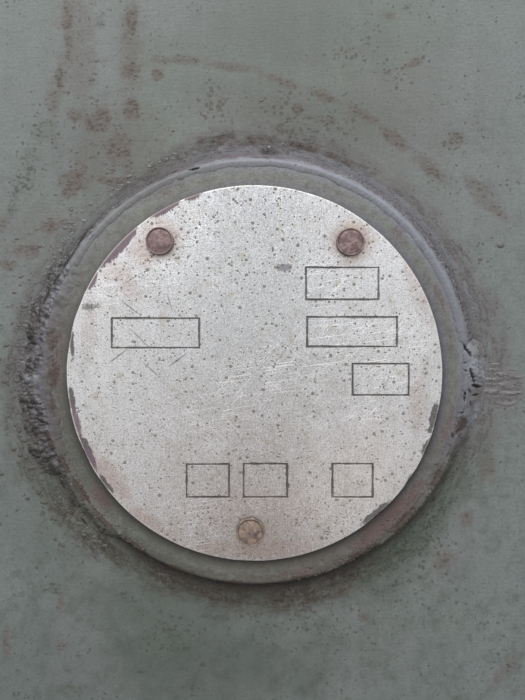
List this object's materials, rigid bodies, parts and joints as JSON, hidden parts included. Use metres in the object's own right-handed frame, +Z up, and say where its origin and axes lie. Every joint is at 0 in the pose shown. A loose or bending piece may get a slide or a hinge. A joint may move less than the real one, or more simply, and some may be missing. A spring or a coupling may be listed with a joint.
{
  "type": "riveted data plate on a section of tank wall",
  "caption": "Blank round aluminium data plate riveted to a round steel pad, which is welded to a flat section of painted tank wall.",
  "frame": {"origin": "on the wall section's back face, straight behind the data plate's centre", "axes": "+Y out of the wall's back face, so the plate faces -Y; +X to the viewer's right; +Z up"},
  "size_m": [0.25, 0.0143, 0.34],
  "materials": {
    "wall_paint": "weathered grey-green paint with rust and dirt",
    "pad_paint": "weathered grey-green paint over mauve primer",
    "plate_aluminium": "worn, pitted, upright brushing",
    "rivet_steel": "hammered steel, lightly rusted",
    "weld_paint": "paint-smeared weld bead"
  },
  "bodies": {
    "root": {"tank_wall": "wall_paint", "backing_pad": "pad_paint", "data_plate": "plate_aluminium", "rivet_top_left": "rivet_steel", "rivet_top_right": "rivet_steel", "rivet_bottom": "rivet_steel", "weld_lower_right": "weld_paint", "weld_right": "weld_paint", "weld_upper_right": "weld_paint", "weld_upper_left": "weld_paint", "weld_left": "weld_paint", "weld_lower_left": "weld_paint"}
  },
  "joints": []
}
